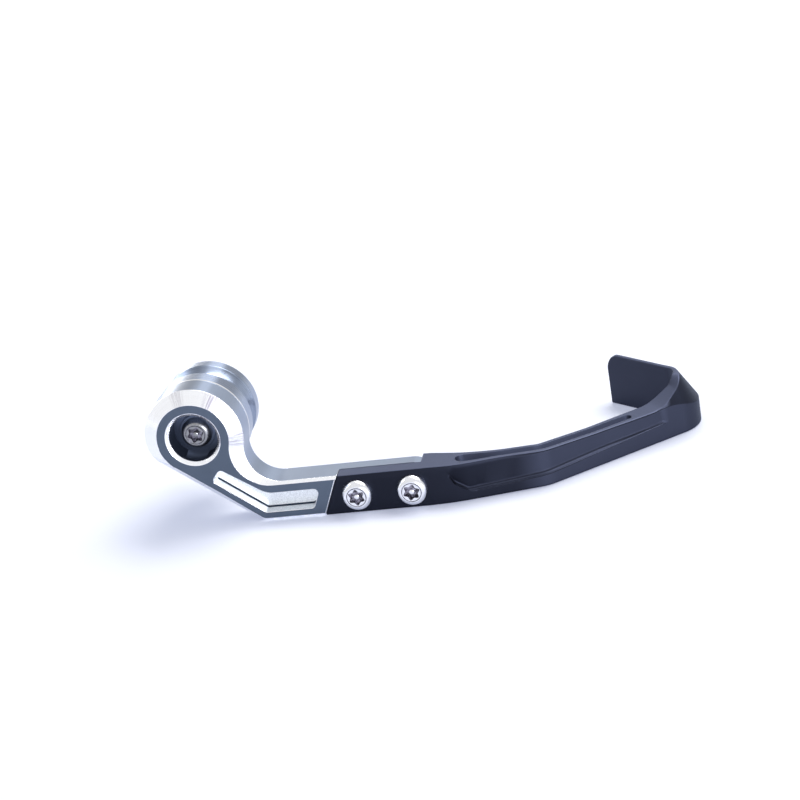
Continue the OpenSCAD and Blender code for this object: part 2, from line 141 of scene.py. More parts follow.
# Softboxes: name, setting of the power, place, size, colour and whether shadows fall from it.
LAMPS = (
    ("Key", "key_watts", (0.45, 0.5, 1.05), (1.1, 0.6), (1.0, 0.99, 0.98), True),
    ("Side", "side_watts", (-0.9, 0.15, 0.55), (0.5, 0.8), (0.92, 0.95, 1.0), True),
    ("Back left", "back_watts", (-0.45, 1.1, 0.08), (0.4, 0.3), (0.97, 0.98, 1.0), True),
    ("Right", "right_watts", (0.55, -0.60, 0.10), (0.7, 0.2), (0.93, 0.95, 1.0), False),
)


class GuardEdges(bpy.types.PropertyGroup):
    """Small roundings along the edges."""

    arm: FloatProperty(
        name="Arm", description="Rounding at the joint with the blade, and 0.4 of it elsewhere",
        default=0.4 * MM, min=0.02 * MM, max=0.6 * MM, unit="LENGTH")
    blade: FloatProperty(
        name="Blade", description="Rounding along the blade's edges",
        default=0.3 * MM, min=0.02 * MM, max=0.5 * MM, unit="LENGTH")
    collar: FloatProperty(
        name="Collar and plug", description="Rounding along the edges of the turned pieces",
        default=0.15 * MM, min=0.02 * MM, max=0.4 * MM, unit="LENGTH")


class GuardColours(bpy.types.PropertyGroup):
    """Colours of the metal finishes."""

    face: FloatVectorProperty(
        name="Arm's face", description="Matt anodised front face of the arm",
        default=(0.094, 0.118, 0.160), min=0, max=1, subtype="COLOR")
    side: FloatVectorProperty(
        name="Arm's sides", description="Satin anodised sides of the arm",
        default=(0.24, 0.285, 0.375), min=0, max=1, subtype="COLOR")
    cut: FloatVectorProperty(
        name="Bright cut", description="Chamfers cut after anodising",
        default=(0.90, 0.91, 0.95), min=0, max=1, subtype="COLOR")
    milled: FloatVectorProperty(
        name="Pocket", description="Milled floor and walls of the pocket",
        default=(0.77, 0.80, 0.86), min=0, max=1, subtype="COLOR")
    recess: FloatVectorProperty(
        name="Recess", description="Inside of the recess for the bolt's head",
        default=(0.058, 0.072, 0.11), min=0, max=1, subtype="COLOR")
    black: FloatVectorProperty(
        name="Blade", description="Black anodised blade",
        default=(0.0145, 0.0165, 0.0260), min=0, max=1, subtype="COLOR")
    collar: FloatVectorProperty(
        name="Collar", description="Turned and anodised collar",
        default=(0.25, 0.295, 0.39), min=0, max=1, subtype="COLOR")
    stainless: FloatVectorProperty(
        name="Screws", description="Bright stainless screws",
        default=(0.78, 0.79, 0.83), min=0, max=1, subtype="COLOR")
    socket: FloatVectorProperty(
        name="Sockets", description="Shaded inside of the screws' sockets",
        default=(0.14, 0.135, 0.165), min=0, max=1, subtype="COLOR")
    washer: FloatVectorProperty(
        name="Washer", description="Blackened washer under the bolt's head",
        default=(0.06, 0.074, 0.11), min=0, max=1, subtype="COLOR")
    zinc: FloatVectorProperty(
        name="Plug", description="Sleeve, nut and washer of the plug",
        default=(0.50, 0.52, 0.56), min=0, max=1, subtype="COLOR")


class GuardScrews(bpy.types.PropertyGroup):
    """Sizes of the button-head screws."""

    head_r: FloatProperty(
        name="Head radius", description="Outer radius of a head",
        default=5.4 * MM, min=4.9 * MM, max=5.6 * MM, unit="LENGTH")
    head_h: FloatProperty(
        name="Head height", description="Height of a head above its seat",
        default=3.2 * MM, min=2.6 * MM, max=3.6 * MM, unit="LENGTH")
    shank_r: FloatProperty(
        name="Shank radius", description="Radius over the crests of the thread",
        default=2.95 * MM, min=2.5 * MM, max=3 * MM, unit="LENGTH")
    pitch: FloatProperty(
        name="Pitch", description="Distance from one turn of the thread to the next",
        default=1 * MM, min=0.7 * MM, max=1.25 * MM, unit="LENGTH")
    socket_r: FloatProperty(
        name="Socket radius", description="Radius over the points of the six-lobed socket",
        default=2.9 * MM, min=2.4 * MM, max=3.2 * MM, unit="LENGTH")
    socket_d: FloatProperty(
        name="Socket depth", description="Depth of the socket",
        default=1.7 * MM, min=1.2 * MM, max=2 * MM, unit="LENGTH")
    pin_r: FloatProperty(
        name="Pin radius", description="Radius of the pin in the socket",
        default=0.85 * MM, min=0.7 * MM, max=1.1 * MM, unit="LENGTH")


class GuardStudio(bpy.types.PropertyGroup):
    """Camera, lights and floor."""

    camera_place: FloatVectorProperty(
        name="Camera place", description="Where the camera stands",
        default=(0.19902, -0.64164, 0.24565), subtype="TRANSLATION", unit="LENGTH")
    azimuth: FloatProperty(
        name="Azimuth", description="Turn of the camera about the upright",
        default=math.radians(11.63), subtype="ANGLE")
    elevation: FloatProperty(
        name="Elevation", description="How far the camera looks down",
        default=math.radians(21.0), subtype="ANGLE")
    roll: FloatProperty(
        name="Roll", description="Turn of the camera about its line of sight",
        default=math.radians(-10.01), subtype="ANGLE")
    lens: FloatProperty(
        name="Lens", description="Focal length in millimetres on a 36 mm frame",
        default=90, min=20, max=200)
    key_watts: FloatProperty(
        name="Key", description="Power of the softbox above and behind",
        default=12.5, min=0, max=50)
    side_watts: FloatProperty(
        name="Side", description="Power of the softbox on the left",
        default=3.0, min=0, max=50)
    back_watts: FloatProperty(
        name="Back left", description="Power of the low softbox behind on the left",
        default=1.6, min=0, max=50)
    right_watts: FloatProperty(
        name="Right", description="Power of the softbox on the right",
        default=7.5, min=0, max=50)
    sky: FloatProperty(
        name="Sky", description="Strength of the light from all round",
        default=0.40, min=0, max=2)
    floor_r: FloatProperty(
        name="Floor radius", description="Radius of the floor",
        default=4.0, min=1, max=10, unit="LENGTH")


class Field:
    """A value that changes over a surface. Arithmetic on it adds Math nodes."""

    def __init__(self, finish, socket):
        self.finish = finish
        self.socket = socket

    def _math(self, operation, first, second=0.0):
        return self.finish.node(
            "ShaderNodeMath", {"operation": operation}, {0: first, 1: second})

    def __add__(self, other):
        return self._math("ADD", self, other)

    def __radd__(self, other):
        return self._math("ADD", other, self)

    def __sub__(self, other):
        return self._math("SUBTRACT", self, other)

    def __rsub__(self, other):
        return self._math("SUBTRACT", other, self)

    def __mul__(self, other):
        return self._math("MULTIPLY", self, other)

    def __truediv__(self, other):
        return self._math("DIVIDE", self, other)

    def __pow__(self, other):
        return self._math("POWER", self, other)

    def __abs__(self):
        return self._math("ABSOLUTE", self)

    def least(self, other):
        """The smaller of two values."""
        return self._math("MINIMUM", self, other)

    def most(self, other):
        """The larger of two values."""
        return self._math("MAXIMUM", self, other)

    def angle(self, other):
        """The angle whose tangent is this value over the other."""
        return self._math("ARCTAN2", self, other)

    def ramp(self, low, high):
        """Rises smoothly from 0 at low to 1 at high."""
        return self.finish.node(
            "ShaderNodeMapRange", {"interpolation_type": "SMOOTHSTEP"},
            {"Value": self, "From Min": low, "From Max": high})


class Finish:
    """One material, built from expressions."""

    def __init__(self, name, colour, roughness, metallic=1.0):
        self.material = bpy.data.materials.new(name)
        self.material.use_nodes = True
        self.material.diffuse_color = (*colour, 1)
        self.tree = self.material.node_tree
        self.shader = self.tree.nodes["Principled BSDF"]
        self.set("Base Color", (*colour, 1))
        self.set("Roughness", roughness)
        self.set("Metallic", metallic)
        self.colour = colour

    def node(self, kind, settings=(), values=(), output=0):
        """Adds a node: first its settings, then the values or links of its sockets."""
        made = self.tree.nodes.new(kind)
        for key, value in dict(settings).items():
            setattr(made, key, value)
        for key, value in dict(values).items():
            if isinstance(value, Field):
                self.tree.links.new(value.socket, made.inputs[key])
            else:
                made.inputs[key].default_value = value
        return Field(self, made.outputs[output])

    def set(self, socket, value):
        """Sets or links a socket of the shader."""
        if isinstance(value, Field):
            self.tree.links.new(value.socket, self.shader.inputs[socket])
        else:
            self.shader.inputs[socket].default_value = value

    def place(self):
        """Place on the object, in millimetres."""
        at = self.node("ShaderNodeTexCoord", output=3)
        return self.node("ShaderNodeVectorMath", {"operation": "SCALE"}, {0: at, "Scale": 1 / MM})

    def facing(self):
        """Direction that the surface faces, on the object."""
        return self.node("ShaderNodeTexCoord", output=1)

    def parts(self, vector):
        """The three parts of a vector."""
        split = self.node("ShaderNodeSeparateXYZ", (), {0: vector})
        made = split.socket.node
        return [Field(self, made.outputs[i]) for i in range(3)]

    def vector(self, x, y, z):
        """A vector from three parts."""
        return self.node("ShaderNodeCombineXYZ", (), {0: x, 1: y, 2: z})

    def noise(self, vector, scale, detail=2.0, roughness=0.5):
        """A cloudy pattern between 0 and 1."""
        return self.node(
            "ShaderNodeTexNoise", (),
            {"Vector": vector, "Scale": scale, "Detail": detail, "Roughness": roughness})

    def mix(self, factor, first, second):
        """A colour between two others."""
        values = {0: factor, 6: first, 7: second}
        for key in (6, 7):
            if not isinstance(values[key], Field):
                values[key] = (*values[key][:3], 1)
        return self.node("ShaderNodeMix", {"data_type": "RGBA"}, values, output=2)

    def tint(self, low, high, factor):
        """The finish's own colour, from low times it to high times it."""
        return self.mix(factor, [c * low for c in self.colour],
                        [min(c * high, 1.0) for c in self.colour])

    def tones(self, angle, glints):
        """A sum of soft bands, each at an angle with a width and a share."""
        total = 0.0
        for centre, width, share in glints:
            beside = abs(angle - centre)
            total = (1 - beside.ramp(width * 0.3, width)) * share + total
        return total

    def bump(self, height, distance):
        """Bumps up to a distance high."""
        self.set("Normal", self.node(
            "ShaderNodeBump", (), {"Height": height, "Distance": distance, "Strength": 1.0}))

    def about_bar(self):
        """Radius, angle and place along the bar, and a direction without a seam, round its axis."""
        x, y, z = self.parts(self.place())
        radius = (x * x + z * z) ** 0.5
        return radius, z.angle(x), y, (x / radius.most(0.01), z / radius.most(0.01))

    def left_light(self, across):
        """A lighter tone where a round surface faces left."""
        return (0 - across).ramp(*FACES_LEFT) * 0.5


def blasted(name, colour, roughness=0.46):
    """Fine matt anodised face."""
    f = Finish(name, colour, roughness)
    at = f.place()
    grain = f.noise(at, 5.0, 3.0)
    cloud = f.noise(at, 0.09, 2.0)
    f.set("Base Color", f.tint(0.86, 1.14, grain * 0.35 + cloud * 0.65))
    f.set("Roughness", grain * 0.12 + (roughness - 0.06))
    f.bump(f.noise(at, 7.0, 2.0), FINE_BUMP)
    return f.material


def turned(name, colour, roughness=0.26, lines=5.0, glints=()):
    """Turned and anodised: fine rings round the bar's axis, with bands of light across them."""
    f = Finish(name, colour, roughness)
    _, angle, along, (cx, cz) = f.about_bar()
    ring = f.noise(f.vector(cx * 0.35, along * lines, cz * 0.35), 1.0, 3.0, 0.6)
    broad = f.noise(f.vector(cx * 1.3, along * 0.02, cz * 1.3), 1.0, 1.0)
    tone = ring * 0.16 + broad * 0.2 + 0.19
    if glints:
        tone = tone + f.tones(angle, glints) + f.left_light(cx)
    f.set("Base Color", f.tint(0.45, 1.95, tone))
    f.set("Roughness", ring * 0.14 + (roughness - 0.05))
    f.bump(ring, RINGS_BUMP)
    return f.material


def satin(name, colour, roughness=0.3):
    """Milled and anodised sides: faint lines along the bar's axis, and bands of light and shade
    round the eye."""
    f = Finish(name, colour, roughness)
    x, y, z = f.parts(f.place())
    lines = f.noise(f.vector(x * 3.0, y * 0.12, z * 3.0), 1.0, 3.0, 0.55)
    cloud = f.noise(f.place(), 0.07, 2.0)
    radius, angle, _, (cx, _) = f.about_bar()
    at_eye = 1 - radius.ramp(*EYE_RIM)
    bands = f.tones(angle, EYE_GLINTS) + f.left_light(cx)
    f.set("Base Color", f.tint(0.45, 1.95, lines * 0.1 + cloud * 0.16 + 0.24 + bands * at_eye))
    f.set("Roughness", lines * 0.12 + (roughness - 0.05))
    f.bump(lines, FINE_BUMP)
    return f.material


def bright_cut(name, colour, roughness=0.2):
    """Chamfers cut bright after anodising, with fine rings and bunches of dark streaks painted at
    set angles round the eye as painted reflection.
    """
    f = Finish(name, colour, roughness)
    radius, angle, _, (cx, cz) = f.about_bar()
    ring = f.noise(f.vector(cx * 0.9, radius * 3.4, cz * 0.9), 1.0, 2.0, 0.7)
    fine = f.noise(f.vector(angle * 52.0, radius * 0.16, 0.0), 1.0, 2.0, 0.6)
    at_eye = 1 - radius.ramp(*EYE_CHAMFER_RIM)
    # Painted reflection: dark streaks at set angles round the eye, where the cut's highlight breaks
    # up.
    streak = f.tones(angle, CUT_REFLECTION_STREAKS) * at_eye * fine.ramp(0.38, 0.6)
    dark = [colour[0] * 0.36, colour[1] * 0.34, colour[2] * 0.38]
    tone = f.tint(0.9, 1.06, ring * 0.6 + fine * 0.4)
    f.set("Base Color", f.mix(streak.least(1.0), tone, dark))
    f.set("Roughness", streak * 0.2 + (roughness + ring * 0.06))
    f.bump(ring, LINES_BUMP)
    return f.material


def milled(name, colour, roughness=0.36):
    """Milled floor and walls: cutter marks along the arm, with a fine sparkle."""
    f = Finish(name, colour, roughness)
    x, y, z = f.parts(f.place())
    marks = f.noise(f.vector(x * 0.55, y * 3.0, z * 2.6), 1.0, 3.0, 0.6)
    grain = f.noise(f.place(), 3.2, 3.0, 0.7)
    f.set("Base Color", f.tint(0.66, 1.22, marks * 0.3 + grain.ramp(0.3, 0.7) * 0.7))
    f.set("Roughness", grain * 0.2 + (roughness - 0.08))
    f.bump(marks + grain, MILLED_BUMP)
    return f.material


def black_anodised(name, colour, roughness=0.5, painted_light=True):
    """Satin black anodised blade with faint cutter marks along it. Where it has painted light, its
    top is lighter as a painted sheen, and the run beyond the bend is lighter as painted light from
    the right, except the slanted faces in front of the tab, which stay dark as painted shade."""
    f = Finish(name, colour, roughness)
    f.set("Specular Tint", (0.88, 0.92, 1.0, 1.0))
    x, y, z = f.parts(f.place())
    grain = f.noise(f.place(), 4.5, 3.0, 0.6)
    marks = f.noise(f.vector(x * 0.1, y * 0.1, z * 3.2), 1.0, 2.0, 0.6)
    cloud = f.noise(f.place(), 0.05, 2.0)
    upward = f.parts(f.facing())[2]
    up = upward.ramp(*FACES_UP)
    # Painted shade: slanted faces in front of the tab are kept out of the painted light beyond the
    # bend.
    slant = upward.ramp(*FACES_SLANTED_UP) * (1 - up) * (1 - y.ramp(*TAB_Y))
    beyond_bend = x.ramp(*BEND_X) * (1 - slant)
    tone = cloud * 0.05 + grain * 0.04 + 0.012
    # Painted light: a sheen on the top, and light from the right on the run beyond the bend.
    if painted_light:
        tone = tone + up * 0.72 + beyond_bend * (1 - up) * 0.24
    f.set("Base Color", f.tint(0.7, 6.0, tone))
    f.set("Roughness", grain * 0.12 + marks * 0.06 + (roughness - 0.08))
    f.bump(grain * 0.7 + marks * 0.5, MARKS_BUMP)
    return f.material


def recessed(name, colour, roughness=0.6):
    """Matt inside of the recess, with painted light and shade: dark below, lighter above on the
    right.
    """
    f = Finish(name, colour, roughness)
    x, _, z = f.parts(f.place())
    grain = f.noise(f.place(), 5.0, 3.0)
    # Painted light: lighter towards the upper right, and darker below as painted shade.
    high = (x * 0.5 + z * 0.86).ramp(*RECESS_RISE)
    f.set("Base Color", f.tint(0.55, 2.6, high * 0.85 + grain * 0.15))
    f.bump(grain, FINE_BUMP)
    return f.material


def socketed(name, colour, roughness=0.4):
    """Shaded inside of a socket, in dark and light patches."""
    f = Finish(name, colour, roughness)
    patches = f.noise(f.place(), 0.95, 2.0, 0.6).ramp(0.36, 0.64)
    f.set("Base Color", f.tint(0.3, 2.2, patches))
    return f.material


def steel(name, colour, roughness=0.2):
    """Bright stainless steel, lightly tumbled."""
    f = Finish(name, colour, roughness)
    grain = f.noise(f.place(), 2.6, 3.0, 0.6)
    fine = f.noise(f.place(), 11.0, 2.0)
    f.set("Base Color", f.tint(0.84, 1.1, grain))
    f.set("Roughness", grain * 0.16 + (roughness - 0.05))
    f.bump(fine, FINE_BUMP)
    return f.material


def finish_piece(name, bm, materials, node, slot, angle=30.0):
    """Turns a bmesh into a piece that rides on the part and stands for a node."""
    mesh = bpy.data.meshes.new(name)
    bm.to_mesh(mesh)
    bm.free()
    for material in materials:
        mesh.materials.append(material)
    mesh.shade_smooth()
    mesh.set_sharp_from_angle(angle=math.radians(angle))
    piece = bpy.data.objects.new(name, mesh)
    bpy.context.scene.collection.objects.link(piece)
    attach(piece, "root")
    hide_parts(node)
    return piece


def merged(node, share=lambda edge: 1.0):
    """A copy of a node's mesh with its loose triangles joined and its flat faces whole. Its sharp
    edges are marked for rounding, by the share of the full width that share gives for an edge."""
    bm = bmesh.new()
    bm.from_mesh(NODES[node].data)
    bmesh.ops.remove_doubles(bm, verts=bm.verts, dist=0.001 * MM)
    bmesh.ops.dissolve_limit(
        bm, angle_limit=math.radians(0.05), verts=bm.verts, edges=bm.edges)
    for face in bm.faces:
        face.material_index = 0
    weight = bm.edges.layers.float.new("bevel_weight_edge")
    for edge in bm.edges:
        sharp = len(edge.link_faces) == 2 and edge.calc_face_angle() > SHARP_ANGLE
        edge[weight] = share(edge) if sharp else 0.0
    return bm


def round_edges(piece, width, material=-1):
    """Rounds the marked edges of a piece and keeps its flat faces evenly lit. A material of -1
    leaves the roundings in the material of the faces beside them."""
    rounding = piece.modifiers.new("Rounded edges", "BEVEL")
    rounding.width = width
    rounding.segments = 2
    rounding.limit_method = "WEIGHT"
    rounding.use_clamp_overlap = False
    rounding.material = material
    shading = piece.modifiers.new("Even shading", "WEIGHTED_NORMAL")
    shading.keep_sharp = True
    shading.weight = 80


def depths(part):
    """Least and greatest depth of a face or an edge behind the arm's front."""
    ys = [v.co.y - FRONT_Y for v in part.verts]
    return min(ys), max(ys)


def arm_edge_share(edge):
    """Full width along the slanted joint, less elsewhere, and none down in the recess, the pocket,
    the tapped holes or on the tongue."""
    first, second = (v.co for v in edge.verts)
    middle = (first + second) / 2
    near, far = depths(edge)
    in_recess = math.hypot(middle.x, middle.z) < RECESS_INSIDE_R and near > RECESS_CHAMFER_D
    on_tongue = middle.x > TONGUE_X and near > TONGUE_D
    if in_recess or on_tongue or at_pocket_floor(edge):
        return 0.0
    at_joint = middle.x > JOINT_X and abs(first.z - second.z) > JOINT_EDGE_H
    return 1.0 if at_joint and far < SLACK else ARM_SHARE


def at_pocket_floor(edge):
    """Says whether an edge lies at the depth of the pocket's floor."""
    near, far = depths(edge)
    return near > POCKET_D - SLACK and far < POCKET_D + SLACK


def at_pocket_foot(edge):
    """Says whether an edge runs along the foot of the pocket's lower wall."""
    walls = [f for f in edge.link_faces if abs(f.normal.y) < 0.1 and f.normal.z > 0.5]
    return at_pocket_floor(edge) and bool(walls)


class GUARD_OT_arm(bpy.types.Operator):
    """Makes the arm with its matt face, bright chamfers, milled pocket and dark recess"""

    bl_idname = "guard.arm"
    bl_label = "Arm"

    def execute(self, context):
        edges, colours = context.scene.guard_edges, context.scene.guard_colours
        bm = merged("arm", arm_edge_share)
        for face in bm.faces:
            near, far = depths(face)
            middle = face.calc_center_median()
            from_axis = max(math.hypot(v.co.x, v.co.z) for v in face.verts)
            lean = -face.normal.y
            if from_axis < RECESS_R and far <= RECESS_D + SLACK:
                face.material_index = CUT if 0.2 < lean < 0.95 else RECESS
            elif abs(lean) > 0.97 and (far < SLACK or near > BACK_Y - FRONT_Y - SLACK):
                face.material_index = FACE
            elif far > POCKET_D + SLACK:
                face.material_index = SIDE
            elif 0.2 < lean <= 0.97:
                face.material_index = CUT
            elif middle.x < POCKET_END_X and far > POCKET_D - SLACK:
                face.material_index = MILLED
            else:
                face.material_index = SIDE
        # A narrow strip along the foot of the pocket's lower wall takes the recess's dark finish:
        # painted shade in the crease.
        foot = [e for e in bm.edges if at_pocket_foot(e)]
        lines = bmesh.ops.bevel(bm, geom=foot, offset=POCKET_FOOT, affect="EDGES", segments=1,
                                profile=0.5, material=-1)
        for face in lines["faces"]:
            face.material_index = RECESS
        materials = [blasted("Arm face", colours.face), satin("Arm side", colours.side),
                     bright_cut("Bright cut", colours.cut), milled("Milled pocket", colours.milled),
                     recessed("Recess", colours.recess)]
        piece = finish_piece("arm_finished", bm, materials, "arm", "arm_metal")
        round_edges(piece, edges.arm, material=CUT)
        return {"FINISHED"}


def in_slot(face):
    """Says whether a face is a wall or the floor of the slot."""
    low = min(v.co.z for v in face.verts)
    return abs(low - SLOT_FLOOR_Z) < SLACK and face.calc_center_median().x > SLOT_START_X


def blade_edge_share(edge):
    """Less than full width round the slot, along the narrow strip round the hook and where the edge
    is already broken, and none at the flute's start, at the tab's tip or on tiny edges."""
    middle = (edge.verts[0].co + edge.verts[1].co) / 2
    at_flute = (FLUTE_START_X[0] < middle.x < FLUTE_START_X[1]
                and FLUTE_START_Z[0] < middle.z < FLUTE_START_Z[1]
                and middle.y < FRONT_Y + FLUTE_START_D)
    at_tip = middle.y > TAB_TIP_Y
    at_slot = in_slot(edge.link_faces[0]) or in_slot(edge.link_faces[1])
    short = edge.calc_length() < (SHORT_SLOT_EDGE if at_slot else SHORT_EDGE)
    if at_flute or at_tip or short:
        return 0.0
    if at_slot:
        return SLOT_SHARE
    if middle.x > STRIP_X and STRIP_Z[0] < middle.z < STRIP_Z[1]:
        return STRIP_SHARE
    return BROKEN_SHARE if edge.calc_face_angle() < BROKEN_ANGLE else 1.0


class GUARD_OT_blade(bpy.types.Operator):
    """Makes the black blade with its rounded edges"""

    bl_idname = "guard.blade"
    bl_label = "Blade"

    def execute(self, context):
        edges, colours = context.scene.guard_edges, context.scene.guard_colours
        bm = merged("blade", blade_edge_share)
        for face in bm.faces:
            face.material_index = int(in_slot(face))
        # The second material, for the slot's walls and floor, is the same black anodise five times
        # lighter: painted light where the slot lies in shade.
        materials = [black_anodised("Black anodised", colours.black),
                     black_anodised("Slot", [c * 5 for c in colours.black], painted_light=False)]
        piece = finish_piece("blade_finished", bm, materials, "blade", "blade_metal")
        round_edges(piece, edges.blade)
        return {"FINISHED"}


def painted_highlight_ring(bm, start, width):
    """Cuts a narrow ring into a turned piece and gives it the second material, as a painted
    highlight.
    """
    for y in (start, start + width):
        whole = list(bm.verts) + list(bm.edges) + list(bm.faces)
        bmesh.ops.bisect_plane(bm, geom=whole, plane_co=(0, y, 0), plane_no=(0, 1, 0))
    low, high = start - 0.01 * MM, start + width + 0.01 * MM
    for face in bm.faces:
        ys = [v.co.y for v in face.verts]
        outside = min(math.hypot(v.co.x, v.co.z) for v in face.verts) > COLLAR_INSIDE_R
        face.material_index = int(outside and min(ys) > low and max(ys) < high)


class GUARD_OT_collar(bpy.types.Operator):
    """Makes the grooved collar and the plug's sleeve, nut and washer"""

    bl_idname = "guard.collar"
    bl_label = "Collar and plug"

    def execute(self, context):
        edges, colours = context.scene.guard_edges, context.scene.guard_colours
        collar = turned("Turned collar", colours.collar, glints=COLLAR_GLINTS)
        sleeve = turned("Turned sleeve", colours.zinc, 0.34, 3.0)
        plain = steel("Zinc", colours.zinc, 0.3)
        dark = recessed("Blackened washer", colours.washer)
        edge_highlight = turned("Bright edges", colours.cut, 0.3)
        for node, slot, material in (
                ("bar_end_collar", "collar_metal", collar),
                ("expander_sleeve", "sleeve_metal", sleeve),
                ("cone_nut", "nut_steel", plain),
                ("bolt_washer", "washer_steel", dark)):
            bm = merged(node)
            if node == "bar_end_collar":
                # A painted highlight: a narrow bright ring near the collar's front edge, where
                # light catches it.
                inset, width = COLLAR_RING
                painted_highlight_ring(bm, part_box(node)[0][1] + inset, width)
            piece = finish_piece(node + "_finished", bm, [material, edge_highlight], node, slot)
            round_edges(piece, edges.collar)
        return {"FINISHED"}


def grow(bm, loop, place):
    """Extrudes a closed loop of edges and puts each new vertex where place says, by its angle."""
    made = bmesh.ops.extrude_edge_only(bm, edges=loop)["geom"]
    for v in made:
        if isinstance(v, bmesh.types.BMVert):
            v.co = place(math.atan2(v.co.z, v.co.x))
    return [e for e in made if isinstance(e, bmesh.types.BMEdge)]


def ring_at(radius, y):
    """A place function for a round ring."""
    return lambda a: Vector((radius * math.cos(a), y, radius * math.sin(a)))


def lobed_at(radius, depth, y, turn):
    """A place function for a six-lobed ring, turned by an angle. Its lobes go in by a share of the
    radius."""
    def place(a):
        r = radius * (1 - depth * (0.5 - 0.5 * math.cos(LOBES * (a - turn))) ** 0.75)
        return Vector((r * math.cos(a), y, r * math.sin(a)))
    return place


def threaded_at(sizes, y, depth):
    """A place function for one ring of a thread."""
    def place(a):
        turn_part = (y / sizes.pitch - a / math.tau) % 1
        r = sizes.shank_r - depth * min(1.0, abs(2 * turn_part - 1) * 1.25)
        return Vector((r * math.cos(a), y, r * math.sin(a)))
    return place


def screw_mesh(sizes, length, turn):
    """A button-head screw along Y with its seat at the origin: pin, socket, head and thread, as one
    skin of rings."""
    bm = bmesh.new()
    top = -sizes.head_h
    floor = top + sizes.socket_d
    flat = sizes.socket_r + GROOVE_END
    upright = Matrix.Rotation(math.radians(90), 4, "X")
    bmesh.ops.create_circle(
        bm, cap_ends=True, radius=sizes.pin_r * 0.72, segments=SCREW_SIDES,
        matrix=Matrix.Translation((0, top + 0.25 * MM, 0)) @ upright)
    loop = list(bm.edges)
    rings = [
        # the pin, from its top to its foot
        ring_at(sizes.pin_r, top + 0.42 * MM),
        ring_at(sizes.pin_r, floor - 0.12 * MM),
        ring_at(sizes.pin_r + 0.12 * MM, floor),
        # the six-lobed wall, from the socket's floor to its rim
        lobed_at(sizes.socket_r - 0.2 * MM, 0.3, floor, turn),
        lobed_at(sizes.socket_r - 0.05 * MM, 0.3, floor - 0.15 * MM, turn),
        lobed_at(sizes.socket_r, 0.3, top + 0.3 * MM, turn),
        lobed_at(sizes.socket_r + 0.1 * MM, 0.28, top + 0.08 * MM, turn),
        # the flat round the socket, with its ring groove
        ring_at(sizes.socket_r + 0.3 * MM, top + 0.02 * MM),
        ring_at(sizes.socket_r + GROOVE_OUT, top + 0.24 * MM),
        ring_at(flat, top + 0.04 * MM),
    ]
    for step in range(1, HEAD_STEPS + 1):
        a = math.radians(90 * step / HEAD_STEPS)
        rings.append(ring_at(flat + (sizes.head_r - flat) * math.sin(a),
                             -0.45 * MM + (top + 0.47 * MM) * math.cos(a)))
    rings += [
        # the head's edge, its seat and the neck of the shank
        ring_at(sizes.head_r, -0.2 * MM),
        ring_at(sizes.head_r - 0.15 * MM, 0),
        ring_at(sizes.shank_r + 0.2 * MM, 0),
        ring_at(sizes.shank_r, 0.15 * MM),
    ]
    y = THREAD_START
    while y < length - 0.6 * MM:
        depth = THREAD_DEPTH * min(1.0, (y - THREAD_START) / sizes.pitch)
        rings.append(threaded_at(sizes, y, depth))
        y += sizes.pitch / STEPS_PER_TURN
    rings += [ring_at(sizes.shank_r - 0.35 * MM, length - 0.4 * MM),
              ring_at(sizes.shank_r - 0.75 * MM, length)]
    for place in rings:
        loop = grow(bm, loop, place)
    bmesh.ops.holes_fill(bm, edges=loop, sides=0)
    bmesh.ops.recalc_face_normals(bm, faces=bm.faces)
    return bm


def screw_piece(name, node, slot, material, dark, sizes):
    """A screw in the place of a node, as long as that node, with painted shade in its socket and
    ring groove.
    """
    low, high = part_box(node)
    length = (high - low).y - sizes.head_h
    bm = screw_mesh(sizes, length, math.radians(SCREW_TURNS[node]))
    for face in bm.faces:
        middle = face.calc_center_median()
        from_axis = math.hypot(middle.x, middle.z)
        in_socket = sizes.pin_r < from_axis < sizes.socket_r + 0.05 * MM
        in_groove = abs(from_axis - sizes.socket_r - GROOVE_OUT) < 0.1 * MM
        sunk = middle.y > -sizes.head_h + 0.09 * MM and middle.y < 0
        # Painted shade: the socket and its ring groove take the dark second material.
        face.material_index = int(sunk and (in_socket or in_groove))
    middle = (low + high) / 2
    bmesh.ops.translate(bm, verts=bm.verts, vec=(middle.x, high.y - length, middle.z))
    return finish_piece(name, bm, [material, dark], node, slot, angle=38.0)


class GUARD_OT_blade_screws(bpy.types.Operator):
    """Makes the two button-head screws that hold the blade"""

    bl_idname = "guard.blade_screws"
    bl_label = "Blade screws"

    def execute(self, context):
        sizes, colours = context.scene.guard_screws, context.scene.guard_colours
        material = steel("Stainless", colours.stainless, 0.16)
        dark = socketed("Screw socket", colours.socket)
        for node in ("inner_blade_screw", "outer_blade_screw"):
            screw_piece(node + "_finished", node, "screw_steel", material, dark, sizes)
        return {"FINISHED"}


class GUARD_OT_clamp_bolt(bpy.types.Operator):
    """Makes the bolt that spreads the plug"""

    bl_idname = "guard.clamp_bolt"
    bl_label = "Clamp bolt"

    def execute(self, context):
        sizes, colours = context.scene.guard_screws, context.scene.guard_colours
        # The bolt takes the screws' steel at 0.36 of its brightness: painted shade for its place
        # deep in the recess.
        material = steel("Bolt steel", [c * 0.36 for c in colours.stainless], 0.26)
        dark = socketed("Bolt socket", colours.socket)
        screw_piece("clamp_bolt_finished", "clamp_bolt", "bolt_steel", material, dark, sizes)
        return {"FINISHED"}


